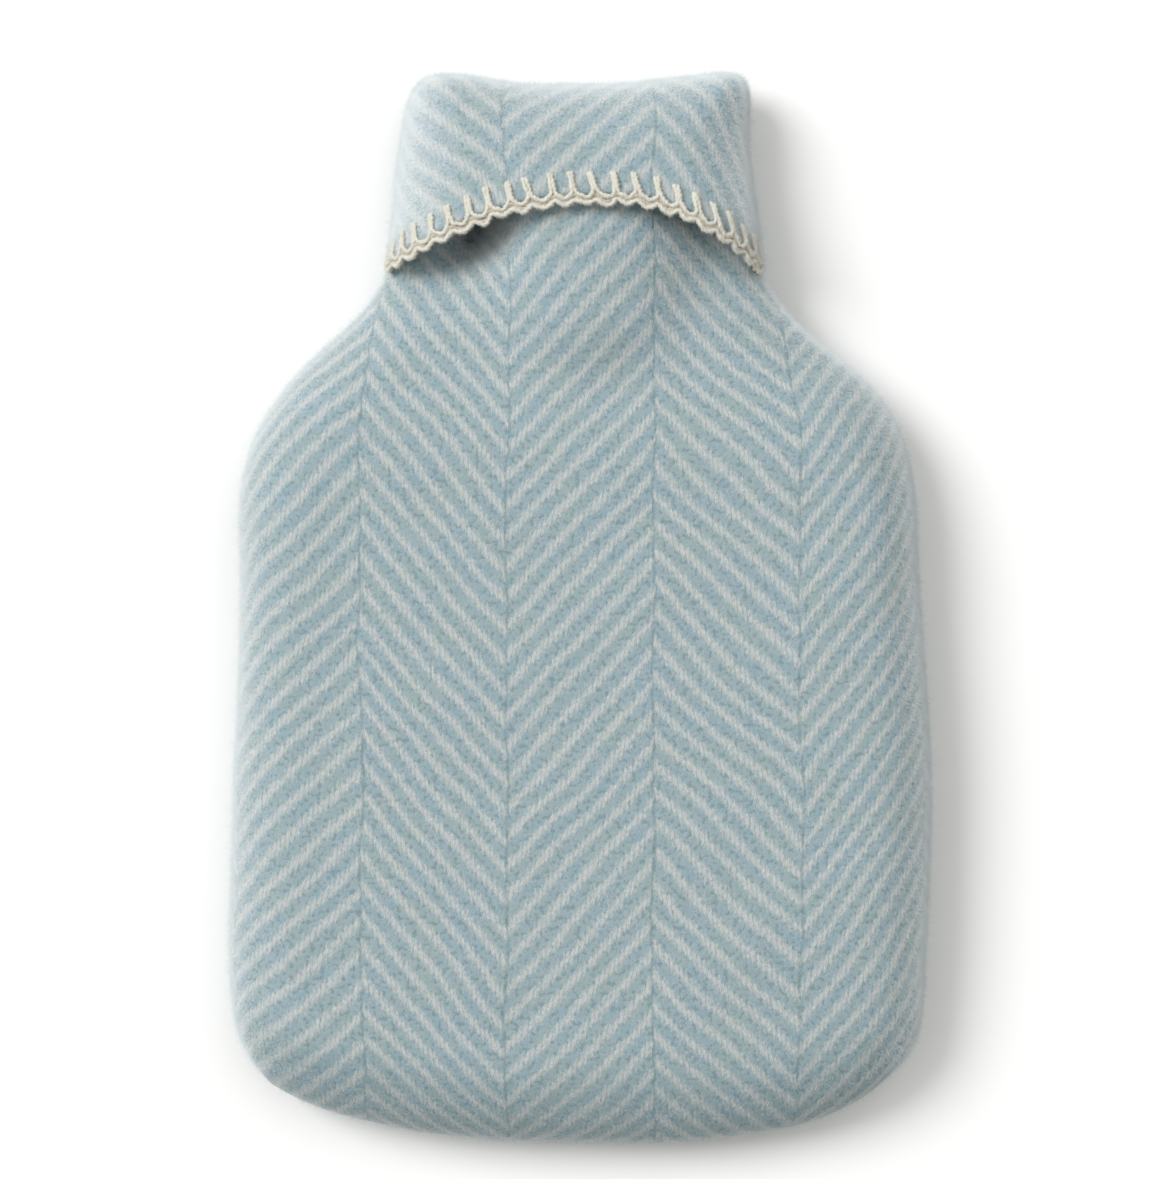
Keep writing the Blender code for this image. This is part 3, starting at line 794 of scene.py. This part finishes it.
def fibres(spots, facing, width, longest, lifts, rng):
    """The three corners of every fibre, and the direction that it faces when it is shaded."""
    count = len(spots)
    brushed = BRUSHED + rng.normal(0, UNRULY, (count, 3))
    lying = unit(brushed - (brushed * facing).sum(axis=1)[:, None] * facing)
    lift = np.radians(rng.uniform(*lifts, count))[:, None]
    growth = np.cos(lift) * lying + np.sin(lift) * facing
    length = longest * (SHORTEST + (1 - SHORTEST) * rng.uniform(0, 1, count)[:, None] ** MOSTLY_SHORT)
    shading = unit(facing + UPWARDS * UP)
    sideways = unit(np.cross(growth, shading))
    stoutness = SLIM_ON_TOP + STOUTER_ASIDE * (1 - np.abs(facing[:, 2:]))
    stoutness = stoutness * rng.uniform(*UNEVENLY_STOUT, (count, 1))
    half_width = 0.5 * width * stoutness * sideways
    tips = spots + length * growth
    tips[:, 2] = np.maximum(tips[:, 2], LOWEST)
    return np.stack([spots - half_width, spots + half_width, tips], axis=1), shading


# %% [markdown]
# A fibre takes its colour from the weave under its root, so all its corners have that place on the
# map. A second map gives each fibre a small cell of its own, where a painted picture can hold its
# colour, because in the first one thousands of fibres lie on top of each other. Real fur lets light
# through, so the fibres cast no shadow.

# %% Grow the nap
IN_CELL = np.array([(0.2, 0.2), (0.8, 0.2), (0.5, 0.8)])


def own_cells(count):
    """A triangle for every fibre, each in a cell of its own."""
    cells = int(np.ceil(count ** 0.5))
    row, column = np.divmod(np.arange(count), cells)
    return (np.stack([column, row], axis=1)[:, None] + IN_CELL) / cells


def grow_nap(name, mesh, count, weight, material, seed, slot="wool", *, width, longest, lifts):
    """One object of fibres rooted on a mesh. They lean up from the cloth by lifts, in degrees."""
    rng = np.random.default_rng(seed)
    spots, facing, weave = scattered(mesh, count, weight, rng)
    corners, shading = fibres(spots, facing, width, longest, lifts, rng)
    fur = bpy.data.meshes.new(name)
    fur.from_pydata(corners.reshape(-1, 3).tolist(), [], np.arange(count * 3).reshape(-1, 3).tolist())
    fur.uv_layers.new(name=WEAVE_MAP).data.foreach_set("uv", np.repeat(weave, 3, axis=0).ravel())
    fur.uv_layers.new(name="OFBake").data.foreach_set("uv", own_cells(count).ravel())
    fur.shade_smooth()
    fur.normals_split_custom_set_from_vertices(np.repeat(shading, 3, axis=0).tolist())
    fur.materials.append(material)
    piece = bpy.data.objects.new(name, fur)
    piece.visible_shadow = False
    bpy.context.scene.collection.objects.link(piece)
    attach(piece, "root")
    print(f"{name}: {count} fibres up to {longest / MM:.1f} mm long")


# %% [markdown]
# The cloth has four kinds of fibre: a short nap all over, a longer halo where it turns away to the
# side, a few long stray hairs there too, and a haze on the flap. The last three are painted paler,
# as painted haze. Three functions say how thickly they grow at a point, from how high it lies and
# which way it faces.

# %% Where the fibres grow
NAP_HEIGHTS = (1.5 * MM, 5 * MM)
NAP_WORN = 0.8
HALO_HEIGHTS = (1.0 * MM, 3 * MM)
HALO_WORN = 0.95
HALO_STEEPNESS = 1.25
HALO_BELOW = 0.4
HAZE_FROM = (110 * MM, 125 * MM)
HAZE_ABOVE = 18 * MM
HAZE_LEFT, HAZE_UP = 0.9, 0.35
HAZE_TURN = (0.1, 0.7)
HAZE_ANYWHERE, HAZE_THERE, HAZE_BENT = 0.1, 2.4, 0.6


def all_over(points, normals):
    """Even on all the cloth that is off the surface, but worn along the foot of the bag."""
    return smooth_step(points[:, 2], *NAP_HEIGHTS) * (1 - NAP_WORN * facing_foot(normals))


def turned_away(points, normals):
    """Where the cloth turns away to the side, and hardly along the foot of the bag."""
    steep = np.where(normals[:, 2] > 0, 1 - normals[:, 2], HALO_BELOW * (1 + normals[:, 2]))
    full = 1 - HALO_WORN * facing_foot(normals)
    return steep ** HALO_STEEPNESS * full * smooth_step(points[:, 2], *HALO_HEIGHTS)


def on_the_flap(points, normals):
    """On the flap alone, and more where it faces its left side and its fold."""
    flap = smooth_step(points[:, 1], *HAZE_FROM) * (normals[:, 2] > 0) * (points[:, 2] > HAZE_ABOVE)
    towards = smooth_step(-HAZE_LEFT * normals[:, 0] + HAZE_UP * normals[:, 1], *HAZE_TURN)
    return flap * (HAZE_ANYWHERE + HAZE_THERE * towards + HAZE_BENT * (1 - normals[:, 2]))


# %% [markdown]
# The halo, the stray hairs and the haze have the same weave, faded pale: painted haze, for the light
# that thin fibres let through and scatter.

# %% The cloth's fibres
NAP = {"width": 0.07 * MM, "longest": 1.7 * MM, "lifts": (10, 40)}
HALO = {"width": 0.055 * MM, "longest": 2.7 * MM, "lifts": (20, 70)}
STRAY = {"width": 0.04 * MM, "longest": 6.0 * MM, "lifts": (25, 80)}
HAZE = {"width": 0.045 * MM, "longest": 2.2 * MM, "lifts": (15, 50)}
# These copies of the weave are painted pale, as painted haze.
front_wool_painted_pale = herringbone_wool("loose wool painted pale, front", *FRONT_WEAVE, painted_fibre_haze=0.55)
back_wool_painted_pale = herringbone_wool("loose wool painted pale, back", *BACK_WEAVE, painted_fibre_haze=0.55)
flap_wool_painted_pale = herringbone_wool("loose wool painted pale, flap", *BACK_WEAVE, painted_fibre_haze=0.75)
grow_nap("front_nap", front_layer, 90000, all_over, front_wool, 3, **NAP)
grow_nap("back_nap", back_layer, 70000, all_over, back_wool, 4, **NAP)
grow_nap("front_halo", front_layer, 110000, turned_away, front_wool_painted_pale, 5, **HALO)
grow_nap("back_halo", back_layer, 100000, turned_away, back_wool_painted_pale, 6, **HALO)
grow_nap("front_stray_hairs", front_layer, 9000, turned_away, front_wool_painted_pale, 9, **STRAY)
grow_nap("back_stray_hairs", back_layer, 9000, turned_away, back_wool_painted_pale, 10, **STRAY)
grow_nap("flap_halo", back_layer, 60000, on_the_flap, flap_wool_painted_pale, 7, **HAZE)

# %% [markdown]
# ## The blanket stitch
#
# The maker worked it from left to right with a thick cream yarn: down through the cloth about 7 mm
# in from the edge, out under the edge, through the loop, and on. Real yarn is laid along that route,
# so every stitch is first given by places on the flap: how far along its edge, how far up from it,
# and how far out from the cloth. The edge is the open border of the thin layer.

# %% The flap's edge as a curve
FLAP_END = 108.4 * MM


def edge_curve(mesh):
    """The flap's edge from left to right, as points in order."""
    counts = {}
    for polygon in mesh.polygons:
        for key in polygon.edge_keys:
            counts[key] = counts.get(key, 0) + 1
    rim = {vertex for key, used in counts.items() if used == 1 for vertex in key}
    points = [mesh.vertices[vertex].co for vertex in rim]
    points = sorted((point for point in points if point.y > FLAP_END), key=lambda point: point.x)
    return np.array(points)


flap_edge = edge_curve(back_layer)
flap_tree = BVHTree.FromPolygons([vertex.co for vertex in back_layer.vertices],
                                 [polygon.vertices for polygon in back_layer.polygons])
edge_steps = np.linalg.norm(np.diff(flap_edge, axis=0), axis=1)
edge_length = np.concatenate([[0], np.cumsum(edge_steps)])
print(f"flap edge: {edge_length[-1] / MM:.1f} mm along its curve, {len(flap_edge)} points")

# %% [markdown]
# Above the edge a place is looked up on the cloth itself, so that the yarn follows its curve. The
# prongs don't stand square to the edge: they lean, more at the left end than at the right. Below the
# edge there is no cloth, and the yarn hangs on in the flap's own direction, only less steeply.

# %% Places on the flap
EDGE_STEP = 1.5 * MM
PRONG_LEAN = (-0.36, -0.08)


def on_edge(along):
    """A point on the edge, with the way out of the cloth and the way up the flap."""
    along = float(np.clip(along, 0, edge_length[-1]))
    places = [[np.interp(at, edge_length, flap_edge[:, axis]) for axis in range(3)]
              for at in (along - EDGE_STEP, along, along + EDGE_STEP)]
    before, point, after = (Vector(place) for place in places)
    onward = (after - before).normalized()
    out = flap_tree.find_nearest(point)[1]
    if out.z < 0:
        out = -out
    out = (out - out.dot(onward) * onward).normalized()
    return point, out, out.cross(onward).normalized()


def on_flap(along, up, out):
    """A place given from the edge: along it, up the flap in the prongs' direction, and out from it."""
    point, outward, upward = on_edge(along)
    if up <= 0:
        level = Vector((upward.x, upward.y, upward.z / 2)).normalized()
        return point + level * up + outward * out
    way = Vector((np.interp(along, (0, edge_length[-1]), PRONG_LEAN), 1.0, 0.0))
    way = (way - way.dot(outward) * outward).normalized()
    nearest, normal = flap_tree.find_nearest(point + way * up)[:2]
    return nearest + normal * out


# %% [markdown]
# A smooth curve through the places gives the yarn its route. The yarn is two plies twisted together,
# so its section has two lobes that turn along its length, and spinning by hand leaves it thicker in
# some places than in others.

# %% Yarn along a path
YARN = 0.66 * MM
YARN_TWIST = 3.0 * MM
YARN_SIDES = 10
YARN_LOBE = 0.20
YARN_UNEVEN = 0.35
YARN_LUMP = 1.8 * MM
YARN_STEP = 0.4 * MM


def smooth_path(points):
    """A Catmull-Rom curve through the points, with even short steps."""
    points = [Vector(point) for point in points]
    knots = [2 * points[0] - points[1], *points, 2 * points[-1] - points[-2]]
    path = []
    for p0, p1, p2, p3 in zip(knots, knots[1:], knots[2:], knots[3:]):
        steps = max(1, round((p2 - p1).length / YARN_STEP))
        for step in range(steps):
            t = step / steps
            path.append(0.5 * (2 * p1 + (p2 - p0) * t + (2 * p0 - 5 * p1 + 4 * p2 - p3) * t * t
                               + (3 * p1 - p0 - 3 * p2 + p3) * t ** 3))
    path.append(points[-1])
    return path


def yarn_ring(mesh, point, side, other, turn):
    """One ring of the yarn's points, its two lobes turned by turn."""
    thick = YARN * (1 + YARN_UNEVEN * noise.noise(point / YARN_LUMP))
    ring = []
    for corner in range(YARN_SIDES):
        angle = 2 * pi * corner / YARN_SIDES
        reach = thick * (1 + YARN_LOBE * cos(2 * (angle - turn)))
        ring.append(mesh.verts.new(point + reach * (cos(angle) * side + sin(angle) * other)))
    return ring


def add_yarn(mesh, path, phase):
    """A twisted yarn along the path, closed at both ends."""
    side = Vector((0, 0, 1))
    travelled = 0.0
    rings = []
    for before, point, after in zip([path[0], *path], path, [*path[1:], path[-1]]):
        onward = (after - before).normalized()
        side = (side - side.dot(onward) * onward).normalized()
        travelled += (point - before).length
        turn = phase + 2 * pi * travelled / YARN_TWIST
        rings.append(yarn_ring(mesh, point, side, onward.cross(side), turn))
    for ring, next_ring in zip(rings, rings[1:]):
        for corner in range(YARN_SIDES):
            after = (corner + 1) % YARN_SIDES
            mesh.faces.new([ring[corner], ring[after], next_ring[after], next_ring[corner]])
    mesh.faces.new(rings[0][::-1])
    mesh.faces.new(rings[-1])


# %% [markdown]
# No two stitches made by hand are alike. Each has its own foot on the edge, its own length and lean
# of prong, and a loop that hangs to its own depth, lowest near the middle of the gap. All are random
# but seeded, a little off the even ones, and the yarn wanders a little from its route as well.

# %% Plan the stitches
STITCHES = 23
STITCH_IN = (4.6 * MM, 2.6 * MM)
PRONG = 7.2 * MM
LOOP = 3.2 * MM
LOWEST_AT = 0.52
WANDER = 0.11 * MM

hand = np.random.default_rng(11)
pitch = (edge_length[-1] - sum(STITCH_IN)) / (STITCHES - 1)
feet = [STITCH_IN[0] + pitch * number + hand.normal(0, 0.2) * MM for number in range(STITCHES)]
tips = [PRONG + hand.normal(0, 0.35) * MM for _ in feet]
leans = [hand.normal(-0.1, 0.3) * MM for _ in feet]
drops = [LOOP + hand.normal(0, 0.25) * MM for _ in feet]
lowest_at = [LOWEST_AT + hand.normal(0, 0.04) for _ in feet]
print(f"{STITCHES} stitches, {pitch / MM:.2f} mm apart")


def lay_yarn(mesh, places, material_index):
    """Lays yarn along places on the flap, a little unevenly."""
    uneven = hand.normal(0, WANDER, (len(places), 3))
    route = smooth_path([on_flap(*place) + Vector(off) for place, off in zip(places, uneven)])
    first = len(mesh.faces)
    add_yarn(mesh, route, hand.uniform(0, pi))
    mesh.faces.ensure_lookup_table()
    for face in mesh.faces[first:]:
        face.material_index = material_index


# %% [markdown]
# Two strands lie side by side in every prong. One length of yarn comes up out of the cloth at a
# prong's tip, runs down its right side, turns along the edge in a shallow V, and climbs the left side
# of the next. The last place of a prong is under the cloth, which hides the yarn's end.

# %% Stitch the prongs
def prong(number, half):
    """The places up one prong, on its left (-1) or right (1) half, from foot to tip."""
    foot, tip, lean = feet[number], tips[number], leans[number]
    return [
        (foot + half * 1.05 * MM, 0.35 * MM, 0.80 * MM),
        (foot + half * 0.46 * MM, 0.23 * tip, 0.80 * MM),
        (foot + half * 0.38 * MM + lean * 0.5, 0.60 * tip, 0.62 * MM),
        (foot + half * 0.40 * MM + lean, 0.94 * tip, 0.35 * MM),
        (foot + half * 0.28 * MM + lean, tip + 0.3 * MM, -1.3 * MM),
    ]


# The tan finish is painted shade, for the shadow between the cream strands.
CREAM, TAN_PAINTED_SHADE = 0, 1
yarn = bmesh.new()
for number in range(STITCHES - 1):
    left, span = feet[number], feet[number + 1] - feet[number]
    turn_of_v = [
        (left + 0.32 * span, -0.50 * MM, 0.80 * MM),
        (left + 0.52 * span, -1.05 * MM, 0.70 * MM),
        (left + 0.72 * span, -0.50 * MM, 0.80 * MM),
    ]
    lay_yarn(yarn, prong(number, 1)[::-1] + turn_of_v + prong(number + 1, -1), CREAM)
print("prongs:", len(yarn.faces), "faces")

# %% [markdown]
# Below the edge the loops join into one strand that runs the flap's whole length, and dips between
# each prong and the next. Two tan strands behind it close the gap to the cloth; their tan is painted
# shade, for the shadow between the strands.

# %% Stitch the strands below the edge
outer, inner, shaded_back_strand = [], [], []
for number in range(STITCHES - 1):
    left, span, drop = feet[number], feet[number + 1] - feet[number], drops[number]
    outer.append((left, -0.50 * drop, 0.50 * MM))
    outer.append((left + 0.28 * span, -0.82 * drop, 0.55 * MM))
    outer.append((left + lowest_at[number] * span, -drop, 0.40 * MM))
    outer.append((left + 0.76 * span, -0.80 * drop, 0.50 * MM))
    inner.append((left, -0.05 * MM, 0.30 * MM))
    inner.append((left + 0.50 * span, -0.66 * drop, -0.15 * MM))
    shaded_back_strand.append((left, -0.36 * drop, -0.05 * MM))
    shaded_back_strand.append((left + 0.50 * span, -0.74 * drop, -0.40 * MM))
outer.append((feet[-1], -0.50 * drops[-1], 0.50 * MM))
inner.append((feet[-1], -0.05 * MM, 0.15 * MM))
lay_yarn(yarn, outer, CREAM)
lay_yarn(yarn, inner, TAN_PAINTED_SHADE)
lay_yarn(yarn, shaded_back_strand, TAN_PAINTED_SHADE)
print("prongs and strands:", len(yarn.faces), "faces")

# %% [markdown]
# All this yarn becomes one object with smooth shading. The solid model has a band with prongs in its
# place, which the yarn now replaces.

# %% Make the stitching one object
stitch_mesh = bpy.data.meshes.new("blanket_stitch_yarn")
yarn.to_mesh(stitch_mesh)
yarn.free()
stitch_mesh.shade_smooth()
stitching = bpy.data.objects.new("blanket_stitch_yarn", stitch_mesh)
bpy.context.scene.collection.objects.link(stitching)
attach(stitching, "root")
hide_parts("blanket_stitch")
stitch_mesh.calc_loop_triangles()
print("stitching:", len(stitch_mesh.loop_triangles), "triangles")


# %% [markdown]
# Knitting yarn is matt and slightly mottled, with a fine rough surface of fibre ends. A fuzz of short
# fibres stands off it, as off the cloth.

# %% Wool yarn and its fuzz
MOTTLES_PER_METRE = 900.0
FIBRES_PER_METRE = 2400.0
YARN_RELIEF = 0.25 * MM
FUZZ = {"width": 0.04 * MM, "longest": 1.3 * MM, "lifts": (10, 60)}


def wool_yarn(name, dark, light):
    """Soft spun wool between two shades."""
    material, tree, shader = new_material(name)
    place = add_node(tree, "TexCoord").outputs["Object"]
    mottle = add_node(tree, "TexNoise", place, MOTTLES_PER_METRE, 3.0)
    fine = add_node(tree, "TexNoise", place, FIBRES_PER_METRE, 3.0, 0.65)
    tint = add_node(tree, "Mix", mottle, colour(dark), colour(light), data_type="RGBA")
    bump = add_node(tree, "Bump", 0.9, YARN_RELIEF, None, fine)
    tree.links.new(tint.outputs["Result"], shader.inputs["Base Color"])
    tree.links.new(bump.outputs[0], shader.inputs["Normal"])
    shader.inputs["Roughness"].default_value = 0.9
    shader.inputs["Specular IOR Level"].default_value = 0.2
    shader.inputs["Sheen Weight"].default_value = 0.3
    shader.inputs["Sheen Roughness"].default_value = 0.5
    print(f"{name}: {dark} to {light}")
    return material


def everywhere(points, normals):
    """The same all over."""
    return np.ones(len(points))


cream_yarn = wool_yarn("cream wool yarn", "#C0BDAF", "#E3E2DA")
stitch_mesh.materials.append(cream_yarn)
# The tan yarn is painted shade between the strands.
stitch_mesh.materials.append(wool_yarn("tan yarn for painted shade", "#B5A795", "#CDC3B4"))
grow_nap("yarn_fuzz", stitch_mesh, 60000, everywhere, cream_yarn, 8, "yarn", **FUZZ)
